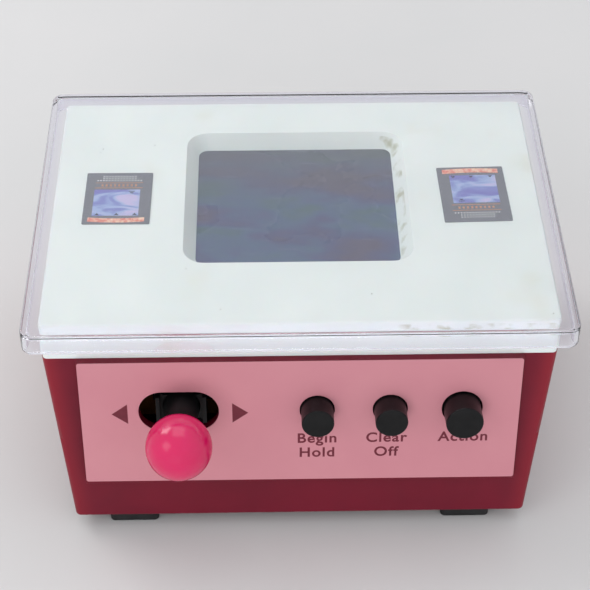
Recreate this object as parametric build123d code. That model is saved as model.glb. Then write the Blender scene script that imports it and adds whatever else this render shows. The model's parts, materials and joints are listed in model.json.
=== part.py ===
from build123d import *
import os
from math import atan2, cos, sin

# A pocket-size cocktail-table video game: a tapered tub on four feet, a white tray with a
# liquid crystal display under a clear cover, and a sloping control panel with a two-way
# stick and three push buttons. All sizes are in millimetres. Each piece is built about the
# middle of the tub's rim and moved at export, so that the origin is at the bottom centre.

# ---------------------------------------------------------------- driving dimensions
BODY_TOP_W = 103.5          # tub, across the rim
BODY_TOP_D = 71.0           # tub, front to back at the rim
BODY_BOTTOM_W = 95.9        # tub, across the lower edge
BODY_H = 40.35
FRONT_KICK = 7.97           # how far the lower front edge stands ahead of the rim
BACK_DRAFT = 3.4            # how far the lower back edge is drawn in from the rim
WALL = 2.0
BODY_CORNER_R = 1.2

FOOT_W = 10.4
FOOT_D = 8.4
FOOT_CORNER_R = 1.0
FOOT_H = 3.4
FOOT_X = 35.6
FRONT_FOOT_Y = -38.2
BACK_FOOT_Y = 22.0

SKIRT_H = 8.62              # tray, from the tub's rim to the white face
TRAY_W = 103.2
TRAY_D = 70.9
TRAY_T = 2.0
TRAY_CORNER_R = 1.0

WINDOW_W = 42.6             # display window at the bottom of its sloping recess
WINDOW_D = 37.4
WINDOW_Y = 3.4
WINDOW_SLOPE = 2.5          # run of the recess's slopes
WINDOW_DEPTH = 3.0
WINDOW_R = 2.0

COVER_W = 109.8
COVER_D = 78.3
COVER_Y = -0.65
COVER_DRAFT = 0.1
COVER_T = 1.2
COVER_WALL = 1.1
COVER_DROP = 2.95           # how far the cover's wall hangs below the white face
COVER_CORNER_R = 2.6
COVER_GAP = 0.45

PANEL_W = 89.8              # raised block that carries the controls
PANEL_H = 31.2
PANEL_PROUD = 1.35
LABEL_T = 0.15
CONTROL_ROW = -12.45        # height of the controls' row, along the slope from the rim

STICK_X = -24.3             # the stick rests a little right of its slot's middle
SLOT_X = -24.8
SLOT_W = 16.4
SLOT_H = 9.8
BALL_R = 6.65
BALL_OUT = 11.77            # ball centre ahead of the panel's face
PIVOT_IN = 8.85             # stick's pivot behind the panel's face
STICK_T = 6.4
STICK_W = 10.3
RIB_T = 0.8                 # ribs along the sides of the stick's arm
RIB_H = 1.4
COLLAR_R = 3.9              # foot of the round collar that carries the ball
ROCKER_REACH = 5.0          # from the pivot's axis to each rubber dome

BUTTONS = {                 # name: (x, cap radius, hole radius, flange radius, height out of the label)
    "start": (3.4, 3.3, 3.6, 4.6, 5.0),
    "reset": (18.3, 3.3, 3.6, 4.6, 5.0),
    "attack": (33.0, 3.8, 4.2, 5.2, 5.4),
}
BUTTON_TRAVEL = 1.2

BATTERY_R = 5.25
BATTERY_L = 44.5
BOX_Y0 = 4.4                # battery box, inner faces
BOX_Y1 = 26.8
BOX_HALF_X = 24.9
BOX_H = 11.8

BUZZER_Y = -19.0
BUZZER_R = 10.0

# ---------------------------------------------------------------- levels and frames
FLOOR_Z = FOOT_H                                  # underside of the tub
RIM_Z = FLOOR_Z + BODY_H
PLATE_Z = RIM_Z + SKIRT_H                         # white face
COVER_TOP_Z = PLATE_Z + COVER_GAP + COVER_T
COVER_LOW_Z = PLATE_Z - COVER_DROP
BASE_T = 2.0
BASE_TOP_Z = FLOOR_Z + BASE_T

LEAN = atan2(FRONT_KICK, BODY_H)
FRONT = Plane(origin=(0, -BODY_TOP_D / 2, RIM_Z), x_dir=(1, 0, 0), z_dir=(0, -cos(LEAN), sin(LEAN)))
PANEL_IN = PANEL_PROUD - WALL                     # inner face of the wall behind the panel
FACE = PANEL_PROUD                                # the panel's face, outward from the front wall
LABEL_FACE = FACE + LABEL_T
SWITCH_TOP = -11.0                                # component side of the switch board
SWITCH_T = 1.6
DOME_H = 1.8
DOME_TOP = SWITCH_TOP + DOME_H
PIVOT_W = FACE - PIVOT_IN
BALL_W = FACE + BALL_OUT

GLASS_TOP_Z = PLATE_Z - WINDOW_DEPTH              # bottom of the window's recess
FILM_T = 0.3
GLASS_T = 1.1
FOIL_T = 0.2
BOARD_T = 1.2
BOARD_TOP_Z = RIM_Z + BOARD_T
BOARD_W = 72.0
BOARD_D = 53.0
BOARD_Y = 1.0
BOARD_SCREWS = [(x, y) for x in (-32.0, 32.0) for y in (-21.0, 23.5)]
TRAY_SCREWS = [(x, y) for x in (-30.0, 30.0) for y in (-29.8, 30.6)]
BASE_SCREWS = [(x, y) for x in (-42.4, 42.4) for y in (-28.0, 12.5)]
SWITCH_SCREWS = [(x, v) for x in (-38.6, 38.6) for v in (-5.6, -20.0)]

TAB_T = 2.0
TOWER_TOP_Z = 17.0
DOOR_T = 1.3
DOOR_HALF_W = 25.4
TONGUE = 0.7                                      # the door's side tongues
DOOR_CLEAR = 0.12
DOOR_Y0 = BOX_Y0 - 1.2

STANDING = (Align.CENTER, Align.CENTER, Align.MIN)
HANGING = (Align.CENTER, Align.CENTER, Align.MAX)

# the ball's foremost point and the cover's back edge bound the object front to back
BALL_Y = -BODY_TOP_D / 2 + CONTROL_ROW * sin(LEAN) - BALL_W * cos(LEAN)
SHIFT_Y = -((BALL_Y - BALL_R) + (COVER_Y + COVER_D / 2)) / 2


def on_front(x, v, w):
    """Place in the sloping front's frame: across, up the slope, and outward from the wall."""
    return FRONT.location * Pos(x, v, w)


def save(name, shape):
    """Write one sub-part, moved so that the origin is the object's bottom centre."""
    export_step(Pos(0, SHIFT_Y, 0) * shape, f"parts/{name}.step")


def rod(radius, height):
    return Cylinder(radius, height, align=STANDING)


def group(shapes):
    """Several separate solids of one kind, kept as one sub-part."""
    return Compound(list(shapes))


# ---------------------------------------------------------------- tub
def body_outline(z, inset, radius):
    """The tub's horizontal outline at a height, inset from its outer face."""
    down = (RIM_Z - z) / BODY_H
    width = BODY_TOP_W - (BODY_TOP_W - BODY_BOTTOM_W) * down - 2 * inset
    front = -BODY_TOP_D / 2 - FRONT_KICK * down + inset
    back = BODY_TOP_D / 2 - BACK_DRAFT * down - inset
    return Pos(0, (front + back) / 2, z) * RectangleRounded(width, back - front, radius)


def tapered_block(inset, low_z, high_z, radius):
    return loft([body_outline(low_z, inset, radius), body_outline(high_z, inset, radius)], ruled=True)


def raised_panel():
    """The raised block of the control panel, cut off level with the rim."""
    block = Box(PANEL_W, PANEL_H + 1, PANEL_PROUD + 1, align=(Align.CENTER, Align.MAX, Align.MIN))
    face = block.faces().sort_by(Axis.Z)[-1]
    block = fillet(face.edges(), 0.25)
    block = on_front(0, 1, -1) * block
    return block - Pos(0, 0, RIM_Z) * Box(200, 200, 20, align=STANDING)


def panel_pocket():
    """Hollow behind the raised block, which keeps the wall one thickness."""
    pocket = Box(PANEL_W - 2 * WALL, PANEL_H - 2 * WALL, WALL + 1, align=(Align.CENTER, Align.MAX, Align.MAX))
    return on_front(0, -WALL, PANEL_IN) * pocket


def control_openings(depth):
    """The stick's slot and the three button holes, cut through the face."""
    tools = [on_front(SLOT_X, CONTROL_ROW, -depth) * extrude(SlotOverall(SLOT_W, SLOT_H), 2 * depth)]
    for x, _, hole_r, _, _ in BUTTONS.values():
        tools.append(on_front(x, CONTROL_ROW, -depth) * rod(hole_r, 2 * depth))
    return tools


def base_tower(x, y):
    """A screw post that stands on the base plate, with a web to the side wall."""
    height = TOWER_TOP_Z - BASE_TOP_Z
    side = 1 if x > 0 else -1
    post = Pos(x, y, BASE_TOP_Z) * rod(3.2, height)
    web = Pos(x + side * 2.75, y, BASE_TOP_Z) * Box(5.5, 1.6, height, align=STANDING)
    return post + web


def tray_tab(x, y):
    """A shelf inside the rim, which a screw passes through into the tray."""
    side = 1 if y > 0 else -1
    reach = BODY_TOP_D / 2 - WALL / 2
    inner = abs(y) - 2.6
    depth = reach - inner
    return Pos(x, side * (inner + depth / 2), RIM_Z) * Box(8.0, depth, TAB_T, align=HANGING)


def body_shell():
    shell = tapered_block(0, FLOOR_Z, RIM_Z, BODY_CORNER_R)
    shell = fillet(shell.faces().sort_by(Axis.Z)[0].edges(), 0.4)
    shell += raised_panel()
    shell -= tapered_block(WALL, FLOOR_Z - 2, RIM_Z + 2, 0.6)
    shell -= panel_pocket()
    for x, v in SWITCH_SCREWS:
        shell += on_front(x, v, SWITCH_TOP) * rod(2.4, PANEL_IN - SWITCH_TOP + 0.5)
    for x, y in BASE_SCREWS:
        shell += base_tower(x, y)
    for x, y in TRAY_SCREWS:
        shell += tray_tab(x, y)
    for x, v in SWITCH_SCREWS:
        shell -= on_front(x, v, SWITCH_TOP) * rod(0.8, 6.5)
    for x, y in BASE_SCREWS:
        shell -= Pos(x, y, BASE_TOP_Z) * rod(1.1, 11)
    for x, y in TRAY_SCREWS:
        shell -= Pos(x, y, RIM_Z - TAB_T) * rod(1.4, TAB_T)
    for tool in control_openings(5):
        shell -= tool
    notch_w = 2 * (DOOR_HALF_W + TONGUE + DOOR_CLEAR)
    shell -= Pos(0, BODY_TOP_D / 2, FLOOR_Z) * Box(notch_w, 14, DOOR_T + DOOR_CLEAR, align=STANDING)
    return shell


# ---------------------------------------------------------------- base
def base_plate():
    """Bottom plate with the battery box, the buzzer's ring and the door's channel."""
    clear = 0.15
    half_w = BODY_BOTTOM_W / 2 - WALL - clear
    front = -BODY_TOP_D / 2 - FRONT_KICK * (BODY_H - BASE_T) / BODY_H + WALL + clear
    back = BODY_TOP_D / 2 - BACK_DRAFT - WALL - clear
    outline = Pos(0, (front + back) / 2, FLOOR_Z) * RectangleRounded(2 * half_w, back - front, 1.0)
    plate = extrude(outline, BASE_T)
    box_y = (BOX_Y0 + BOX_Y1) / 2
    box_d = BOX_Y1 - BOX_Y0
    wall = 1.2
    plate += Pos(0, box_y, FLOOR_Z) * Box(2 * (BOX_HALF_X + wall), box_d + 2 * wall, BASE_T + BOX_H + wall,
                                          align=STANDING)
    plate -= Pos(0, box_y, FLOOR_Z) * Box(2 * BOX_HALF_X, box_d, BASE_T + BOX_H, align=STANDING)
    plate += Pos(0, BUZZER_Y, FLOOR_Z) * rod(BUZZER_R + 1.4, BASE_T + 2.5)
    plate -= Pos(0, BUZZER_Y, BASE_TOP_Z + 0.5) * rod(BUZZER_R + 0.1, 5)
    plate -= Pos(0, BUZZER_Y, BASE_TOP_Z) * rod(BUZZER_R - 1.2, 5)
    for place in sound_hole_places():
        plate -= place * rod(0.75, BASE_T)
    for x, y in BASE_SCREWS:
        plate -= Pos(x, y, FLOOR_Z) * rod(1.4, BASE_T)
        plate -= Pos(x, y, FLOOR_Z) * rod(2.7, 1.1)
    plate -= lead_notches()
    return plate - door_channel(back)


def sound_hole_places():
    """One hole in the middle and two rings about it."""
    places = [Pos(0, BUZZER_Y, FLOOR_Z)]
    for ring_r, count in ((3.4, 6), (6.6, 12)):
        places += [Pos(0, BUZZER_Y, FLOOR_Z) * loc for loc in PolarLocations(ring_r, count)]
    return places


def lead_notches():
    """Openings near the top of the battery box's end walls, where the leads come out."""
    notch = Box(4.0, 3.0, 3.0)
    z = BASE_TOP_Z + BOX_H - 1.5
    return group([Pos(side * (BOX_HALF_X + 0.6), BOX_Y0 + 1.5, z) * notch for side in (-1, 1)])


def door_channel(back):
    """The recess the battery door slides in, open at the back edge."""
    length = back - DOOR_Y0 + 1
    y = DOOR_Y0 - DOOR_CLEAR
    align = (Align.CENTER, Align.MIN, Align.MIN)
    slab = Pos(0, y, FLOOR_Z) * Box(2 * (DOOR_HALF_W + DOOR_CLEAR), length, DOOR_T + DOOR_CLEAR, align=align)
    tongue_w = 2 * (DOOR_HALF_W + TONGUE + DOOR_CLEAR)
    groove = Pos(0, y, FLOOR_Z + 0.6) * Box(tongue_w, length, DOOR_T - 0.6 + DOOR_CLEAR, align=align)
    return slab + groove


def battery_door():
    """A sliding door with side tongues, a ribbed thumb grip and its end flush with the back."""
    back = BODY_TOP_D / 2 - BACK_DRAFT
    length = back - DOOR_Y0
    align = (Align.CENTER, Align.MIN, Align.MIN)
    door = Pos(0, DOOR_Y0, FLOOR_Z) * Box(2 * DOOR_HALF_W, length, DOOR_T, align=align)
    tongue_z = FLOOR_Z + 0.6 + DOOR_CLEAR
    door += Pos(0, DOOR_Y0, tongue_z) * Box(2 * (DOOR_HALF_W + TONGUE), length - 5, FLOOR_Z + DOOR_T - tongue_z,
                                            align=align)
    for step in range(5):
        groove_y = back - 10 + 1.6 * step
        door -= Pos(0, groove_y, FLOOR_Z) * Box(16 - 2 * abs(step - 2), 0.8, 0.5, align=align)
    return door


def foot(x, y):
    pad = extrude(RectangleRounded(FOOT_W, FOOT_D, FOOT_CORNER_R), FOOT_H)
    pad = chamfer(pad.faces().sort_by(Axis.Z)[0].edges(), 0.4)
    return Pos(x, y, 0) * pad


# ---------------------------------------------------------------- screws
def pan_screw(head_r, head_h, shank_r, shank_l):
    """Cross-recess screw, shank up from z=0 and its head below."""
    screw = rod(shank_r, shank_l) + Cylinder(head_r, head_h, align=HANGING)
    recess = Box(0.3 * head_r, 1.3 * head_r, head_h * 0.6, align=STANDING)
    for turn in (0, 90):
        screw -= Pos(0, 0, -head_h) * Rot(0, 0, turn) * recess
    return screw


def base_screws():
    screw = pan_screw(2.4, 1.0, 1.05, 9.5)
    return group([Pos(x, y, FLOOR_Z + 1.1) * screw for x, y in BASE_SCREWS])


def tray_screws():
    screw = pan_screw(2.2, 1.2, 0.95, 8.0)
    return group([Pos(x, y, RIM_Z - TAB_T) * screw for x, y in TRAY_SCREWS])


def board_screws():
    screw = pan_screw(1.8, 1.0, 0.75, 5.5)
    return group([Pos(x, y, RIM_Z) * screw for x, y in BOARD_SCREWS])


def switch_board_screws():
    screw = pan_screw(1.8, 1.0, 0.75, 6.5)
    return group([on_front(x, v, SWITCH_TOP - SWITCH_T) * screw for x, v in SWITCH_SCREWS])


# ---------------------------------------------------------------- tray and cover
def top_tray():
    """White tray: face, skirt, and a display window with sloping sides."""
    tray = Pos(0, 0, RIM_Z) * extrude(RectangleRounded(TRAY_W, TRAY_D, TRAY_CORNER_R), SKIRT_H)
    tray = fillet(tray.faces().sort_by(Axis.Z)[-1].edges(), 0.4)
    inner = RectangleRounded(TRAY_W - 2 * TRAY_T, TRAY_D - 2 * TRAY_T, 0.6)
    tray -= Pos(0, 0, RIM_Z) * extrude(inner, SKIRT_H - TRAY_T)
    rim_h = WINDOW_DEPTH - TRAY_T
    rim_w = WINDOW_W + 2 * WINDOW_SLOPE + 3
    rim_d = WINDOW_D + 2 * WINDOW_SLOPE + 3
    tray += Pos(0, WINDOW_Y, GLASS_TOP_Z) * Box(rim_w, rim_d, rim_h, align=STANDING)
    for x, y in BOARD_SCREWS:
        tray += Pos(x, y, BOARD_TOP_Z) * rod(2.2, PLATE_Z - TRAY_T / 2 - BOARD_TOP_Z)
    for x, y in TRAY_SCREWS:
        tray += Pos(x, y, RIM_Z) * rod(2.3, SKIRT_H - TRAY_T / 2)
    for x, y in BOARD_SCREWS:
        tray -= Pos(x, y, BOARD_TOP_Z) * rod(0.8, 4.8)
    for x, y in TRAY_SCREWS:
        tray -= Pos(x, y, RIM_Z) * rod(1.0, 6.5)
    return tray - window_recess()


def window_recess():
    low = RectangleRounded(WINDOW_W, WINDOW_D, WINDOW_R)
    high = RectangleRounded(WINDOW_W + 2 * WINDOW_SLOPE, WINDOW_D + 2 * WINDOW_SLOPE, WINDOW_R + WINDOW_SLOPE)
    return loft([Pos(0, WINDOW_Y, GLASS_TOP_Z) * low, Pos(0, WINDOW_Y, PLATE_Z) * high], ruled=True)


def cover_outline(z, inset):
    """The cover widens a little towards its lower edge."""
    down = (COVER_TOP_Z - z) / (COVER_TOP_Z - COVER_LOW_Z)
    shrink = 2 * inset + 2 * COVER_DRAFT * (1 - down)
    radius = COVER_CORNER_R - inset
    return Pos(0, COVER_Y, z) * RectangleRounded(COVER_W - shrink, COVER_D - shrink, radius)


def clear_cover():
    cover = loft([cover_outline(COVER_LOW_Z, 0), cover_outline(COVER_TOP_Z, 0)], ruled=True)
    cover = fillet(cover.faces().sort_by(Axis.Z)[-1].edges(), 0.3)
    under_z = COVER_TOP_Z - COVER_T
    cover -= loft([cover_outline(COVER_LOW_Z, COVER_WALL), cover_outline(under_z, COVER_WALL)], ruled=True)
    for x in (-48, 48):
        for y in (-31, 31):
            cover += Pos(x, y, PLATE_Z) * rod(1.2, COVER_GAP + 0.1)
    return cover


def instruction_card(x, y, width, depth, turn):
    card = extrude(RectangleRounded(width, depth, 0.3), 0.15)
    return Pos(x, y, PLATE_Z) * Rot(0, 0, turn) * card


def control_label():
    """The panel's label, cut a little out of square at its lower edge."""
    left = -PANEL_W / 2 + 0.15
    right = PANEL_W / 2 - 0.15
    outline = Polyline((left, -0.3), (right, -0.3), (right, -30.6), (left, -30.45), close=True)
    label = extrude(make_face(outline), LABEL_T)
    label = fillet(label.edges().filter_by(Axis.Z), 0.5)
    label = on_front(0, 0, FACE) * label
    for tool in control_openings(5):
        label -= tool
    return label


# ---------------------------------------------------------------- display and main board
def lcd_polariser():
    return Pos(0, WINDOW_Y, GLASS_TOP_Z - FILM_T) * Box(45.0, 38.6, FILM_T, align=STANDING)


def lcd_glass():
    """Two bonded glass plates. The upper one overhangs and carries the contacts."""
    top = GLASS_TOP_Z - FILM_T
    upper = Pos(0, WINDOW_Y, top) * Box(50.0, 43.0, GLASS_T, align=HANGING)
    lower = Pos(0, WINDOW_Y, top - GLASS_T) * Box(50.0, 36.6, GLASS_T, align=HANGING)
    return upper + lower


def lcd_reflector():
    z = GLASS_TOP_Z - FILM_T - 2 * GLASS_T
    return Pos(0, WINDOW_Y, z) * Box(48.0, 35.0, FOIL_T, align=HANGING)


def zebra_strip(side):
    """Elastomeric connector between the upper glass's ledge and the board."""
    height = GLASS_TOP_Z - FILM_T - GLASS_T - BOARD_TOP_Z
    return Pos(0, WINDOW_Y + side * 20.0, BOARD_TOP_Z) * Box(46.0, 1.8, height, align=STANDING)


def lcd_frame():
    """Black frame that locates the glass and the two strips on the board."""
    height = GLASS_TOP_Z - FILM_T - 0.4 - BOARD_TOP_Z
    frame = Box(53.6, 46.4, height, align=STANDING) - Box(50.3, 43.3, height, align=STANDING)
    return Pos(0, WINDOW_Y, BOARD_TOP_Z) * frame


def main_board():
    board = Pos(0, BOARD_Y, RIM_Z) * Box(BOARD_W, BOARD_D, BOARD_T, align=STANDING)
    for x, y in BOARD_SCREWS:
        board -= Pos(x, y, RIM_Z) * rod(1.0, BOARD_T)
    return board


def chip_blob():
    blob = rod(6.5, 1.8)
    blob = fillet(blob.faces().sort_by(Axis.Z)[-1].edges(), 1.4)
    return Pos(6, 4, RIM_Z) * Rot(180, 0, 0) * blob


def can_capacitor():
    can = Cylinder(2.5, 7.0, rotation=(0, 90, 0))
    lead = Pos(3.2, 0, 0) * rod(0.3, 2.6)
    return Pos(-20, 14, RIM_Z - 2.6) * (can + Pos(0, 1.0, 0) * lead + Pos(0, -1.0, 0) * lead)


def board_resistors():
    """Four axial resistors with their leads bent up into the board."""
    body = Cylinder(0.9, 3.6, rotation=(0, 90, 0))
    wire = Cylinder(0.25, 6.4, rotation=(0, 90, 0))
    legs = [Pos(side * 3.0, 0, 0) * rod(0.25, 1.2) for side in (-1, 1)]
    resistor = body + wire + legs
    return group([Pos(22, -14 + 3.5 * step, RIM_Z - 1.2) * resistor for step in range(4)])


def crystal_can():
    can = Cylinder(1.0, 6.0, rotation=(0, 90, 0))
    return Pos(-8, 17, RIM_Z - 1.05) * can


# ---------------------------------------------------------------- controls
def switch_board():
    width = 2 * (SWITCH_SCREWS[-1][0] + 2.8)
    board = on_front(0, CONTROL_ROW, SWITCH_TOP) * Box(width, 20.0, SWITCH_T, align=HANGING)
    for x, v in SWITCH_SCREWS:
        board -= on_front(x, v, SWITCH_TOP - SWITCH_T) * rod(1.0, SWITCH_T)
    return board


def rubber_dome(x):
    """A silicone dome key that stands on the switch board."""
    base = rod(3.1, 0.35)
    crown = Cone(2.5, 1.6, DOME_H - 0.3, align=STANDING)
    hollow = Cone(1.9, 1.1, 0.9, align=STANDING)
    return on_front(x, CONTROL_ROW, SWITCH_TOP) * (base + Pos(0, 0, 0.3) * crown - hollow)


def push_button(x, cap_r, flange_r, proud):
    """Cap, retaining flange behind the wall, and a stem that reaches the dome."""
    top = LABEL_FACE + proud
    flange_top = PANEL_IN - 0.15
    cap = rod(cap_r, top - flange_top)
    cap = fillet(cap.faces().sort_by(Axis.Z)[-1].edges(), 0.35)
    button = on_front(x, CONTROL_ROW, flange_top) * cap
    button += on_front(x, CONTROL_ROW, flange_top) * Cylinder(flange_r, 1.0, align=HANGING)
    return button + on_front(x, CONTROL_ROW, DOME_TOP) * rod(1.5, flange_top - DOME_TOP)


def stick_lever():
    """Rocker, pivot hub and arm of the stick, in one moulding."""
    half_w = STICK_W / 2
    rib_in = half_w - RIB_T
    rib_top = FACE - 0.2
    arm_top = rib_top - RIB_H
    arm = Polyline(
        (-3.0, PIVOT_W), (-half_w, PIVOT_W + 3.4), (-half_w, rib_top), (-rib_in, rib_top), (-rib_in, arm_top),
        (rib_in, arm_top), (rib_in, rib_top), (half_w, rib_top), (half_w, PIVOT_W + 3.4), (3.0, PIVOT_W),
        close=True)
    profile = make_face(arm) + Pos(0, PIVOT_W) * Circle(3.0)
    rocker_top = PIVOT_W + 0.6
    profile += Pos(0, (rocker_top + PIVOT_W - 1.1) / 2) * Rectangle(2 * ROCKER_REACH + 2.6, 1.7)
    lever = extrude(profile, STICK_T / 2, both=True)
    to_front = Location((0, 0, 0), (90, 0, 0))
    lever = to_front * lever
    lever -= Rot(90, 0, 0) * Pos(0, PIVOT_W, 0) * Cylinder(1.05, 2 * STICK_T)
    groove = Box(STICK_W - 2.6, 0.5, 7.0, align=(Align.CENTER, Align.CENTER, Align.MIN))
    for side in (-1, 1):
        lever -= Pos(0, side * STICK_T / 2, -5.0) * groove
        lever += Pos(side * ROCKER_REACH, 0, DOME_TOP) * rod(1.1, PIVOT_W - 1.0 - DOME_TOP)
    collar_h = BALL_W - BALL_R - arm_top
    lever += Pos(0, 0, arm_top) * Cone(COLLAR_R, 2.7, collar_h, align=STANDING)
    lever += Pos(0, 0, arm_top) * rod(2.15, BALL_W - arm_top - 0.6)
    return on_front(STICK_X, CONTROL_ROW, 0) * lever


def ball_knob():
    ball = Sphere(BALL_R) - Cylinder(2.17, BALL_R, align=HANGING)
    return on_front(STICK_X, CONTROL_ROW, BALL_W) * ball


def stick_bracket():
    """Pivot bracket, held between the panel's wall and the switch board."""
    flange_t = 1.4
    flange = Box(20.8, 16.4, flange_t, align=HANGING) - Box(17.2, 10.6, flange_t, align=HANGING)
    bracket = Pos(0, 0, PANEL_IN) * flange
    ear_h = PANEL_IN - SWITCH_TOP
    for side in (-1, 1):
        ear = Box(8.4, 3.0, ear_h, align=STANDING)
        bracket += Pos(0, side * (STICK_T / 2 + 0.3 + 1.5), SWITCH_TOP) * ear
    bracket -= Pos(0, 0, PIVOT_W) * Cylinder(1.02, 20, rotation=(90, 0, 0))
    return on_front(STICK_X, CONTROL_ROW, 0) * bracket


def pivot_pin():
    return on_front(STICK_X, CONTROL_ROW, PIVOT_W) * Cylinder(1.0, STICK_T + 6.0, rotation=(90, 0, 0))


# ---------------------------------------------------------------- power and sound
BATTERY_Z = BASE_TOP_Z + BATTERY_R + 0.3
BATTERY_ROWS = (BOX_Y0 + BATTERY_R + 0.35, BOX_Y1 - BATTERY_R - 0.35)
PLATE_T = 0.4                                     # contact plates
SPRING_L = 2 * BOX_HALF_X - 2 * PLATE_T - BATTERY_L


def battery(row, side):
    """Slim cell, its positive nub pointing along X in the side's direction."""
    cell = rod(BATTERY_R, BATTERY_L - 1.0)
    cell = fillet(cell.faces().sort_by(Axis.Z)[-1].edges(), 0.5)
    cell += Pos(0, 0, BATTERY_L - 1.0) * rod(1.9, 1.0)
    start = side * (BOX_HALF_X - PLATE_T - BATTERY_L)
    return Pos(start, BATTERY_ROWS[row], BATTERY_Z) * Rot(0, side * 90, 0) * cell


def contact_plates():
    """Sprung steel plates at both ends of the battery box."""
    plates = []
    for side in (-1, 1):
        for row in BATTERY_ROWS:
            x = side * (BOX_HALF_X - PLATE_T / 2)
            plates.append(Pos(x, row, BATTERY_Z) * Box(PLATE_T, 8.0, 8.0))
    return group(plates)


def contact_spring(row, side):
    """Coil spring that presses on a cell's flat end."""
    wire = 0.3
    coil = Helix(pitch=1.15, height=SPRING_L - 2 * wire - 0.1, radius=2.6)
    section = Plane(origin=coil @ 0, z_dir=coil % 0) * Circle(wire)
    spring = sweep(section, path=coil, is_frenet=True)
    start = side * (BOX_HALF_X - PLATE_T)
    return Pos(start, BATTERY_ROWS[row], BATTERY_Z) * Rot(0, -side * 90, 0) * Pos(0, 0, wire + 0.05) * spring


def buzzer_disc():
    """Piezo sounder: a brass disc with its ceramic layer."""
    disc = rod(BUZZER_R, 0.25) + Pos(0, 0, 0.25) * rod(0.7 * BUZZER_R, 0.2)
    return Pos(0, BUZZER_Y, BASE_TOP_Z + 0.5) * disc


def lead(points, bend, radius):
    """An insulated wire along straight runs joined by arcs."""
    path = FilletPolyline(*points, radius=bend)
    section = Plane(origin=path @ 0, z_dir=path % 0) * Circle(radius)
    return sweep(section, path=path)


def battery_lead(side):
    """From the battery box's end up to the main board."""
    y = BOX_Y0 + 1.2
    z = BASE_TOP_Z + BOX_H - 1.5
    points = [(side * (BOX_HALF_X - 1.0), y, z), (side * 30, y, z), (side * 31, y - 2, RIM_Z - 12),
              (side * 28, y - 3, RIM_Z - 6), (side * 28, y - 3, RIM_Z)]
    return lead(points, [2.4, 4.0, 3.0], 0.5)


def buzzer_lead(side):
    """From the sounder up to the main board."""
    x = side * 4.0
    z = BASE_TOP_Z + 0.95
    points = [(x, BUZZER_Y, z), (x, BUZZER_Y, z + 6), (x * 1.6, BUZZER_Y + 5, RIM_Z - 9),
              (x * 1.6, BUZZER_Y + 5, RIM_Z)]
    return lead(points, [6.0, 6.0], 0.4)


def ribbon_cable():
    """Flat ribbon from the switch board's back to the main board."""
    start = on_front(-6, CONTROL_ROW + 4, SWITCH_TOP - SWITCH_T).position
    out = FRONT.z_dir * -5
    bend = start + out
    path = FilletPolyline(start, bend, (start.X, bend.Y, RIM_Z), radius=2.5)
    section = Plane(origin=path @ 0, z_dir=path % 0, x_dir=(1, 0, 0)) * Rectangle(10.0, 0.5)
    return sweep(section, path=path)


# ---------------------------------------------------------------- export
def main():
    os.makedirs("parts", exist_ok=True)
    save("body_shell", body_shell())
    save("base_plate", base_plate())
    save("battery_door", battery_door())
    for front, y in (("front", FRONT_FOOT_Y), ("back", BACK_FOOT_Y)):
        for side, x in (("left", -FOOT_X), ("right", FOOT_X)):
            save(f"foot_{front}_{side}", foot(x, y))
    save("base_screws", base_screws())
    save("tray_screws", tray_screws())
    save("board_screws", board_screws())
    save("switch_board_screws", switch_board_screws())
    save("top_tray", top_tray())
    save("clear_cover", clear_cover())
    save("instruction_card_left", instruction_card(-38.05, 2.6, 14.2, 16.6, -0.5))
    save("instruction_card_right", instruction_card(37.95, 2.8, 14.4, 17.8, 1.2))
    save("control_label", control_label())
    save("lcd_polariser", lcd_polariser())
    save("lcd_glass", lcd_glass())
    save("lcd_reflector", lcd_reflector())
    save("zebra_strip_front", zebra_strip(-1))
    save("zebra_strip_back", zebra_strip(1))
    save("lcd_frame", lcd_frame())
    save("main_board", main_board())
    save("chip_blob", chip_blob())
    save("can_capacitor", can_capacitor())
    save("board_resistors", board_resistors())
    save("crystal_can", crystal_can())
    save("switch_board", switch_board())
    for name, (x, cap_r, _, flange_r, proud) in BUTTONS.items():
        save(f"{name}_button", push_button(x, cap_r, flange_r, proud))
        save(f"{name}_dome", rubber_dome(x))
    save("left_dome", rubber_dome(STICK_X - ROCKER_REACH))
    save("right_dome", rubber_dome(STICK_X + ROCKER_REACH))
    save("stick_lever", stick_lever())
    save("ball_knob", ball_knob())
    save("stick_bracket", stick_bracket())
    save("pivot_pin", pivot_pin())
    save("battery_front", battery(0, 1))
    save("battery_back", battery(1, -1))
    save("contact_plates", contact_plates())
    save("contact_spring_front", contact_spring(0, -1))
    save("contact_spring_back", contact_spring(1, 1))
    save("buzzer_disc", buzzer_disc())
    save("battery_lead_positive", battery_lead(1))
    save("battery_lead_negative", battery_lead(-1))
    save("buzzer_lead_left", buzzer_lead(-1))
    save("buzzer_lead_right", buzzer_lead(1))
    save("ribbon_cable", ribbon_cable())
    print("shift_y", round(SHIFT_Y, 4), "lean", LEAN)


main()
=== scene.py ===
"""Looks of a pocket cocktail-table video game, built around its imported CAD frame."""

import json
import logging
import math
import random
from dataclasses import dataclass, field
from enum import Enum

import bmesh
import bpy
from mathutils import Matrix, Vector


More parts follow.
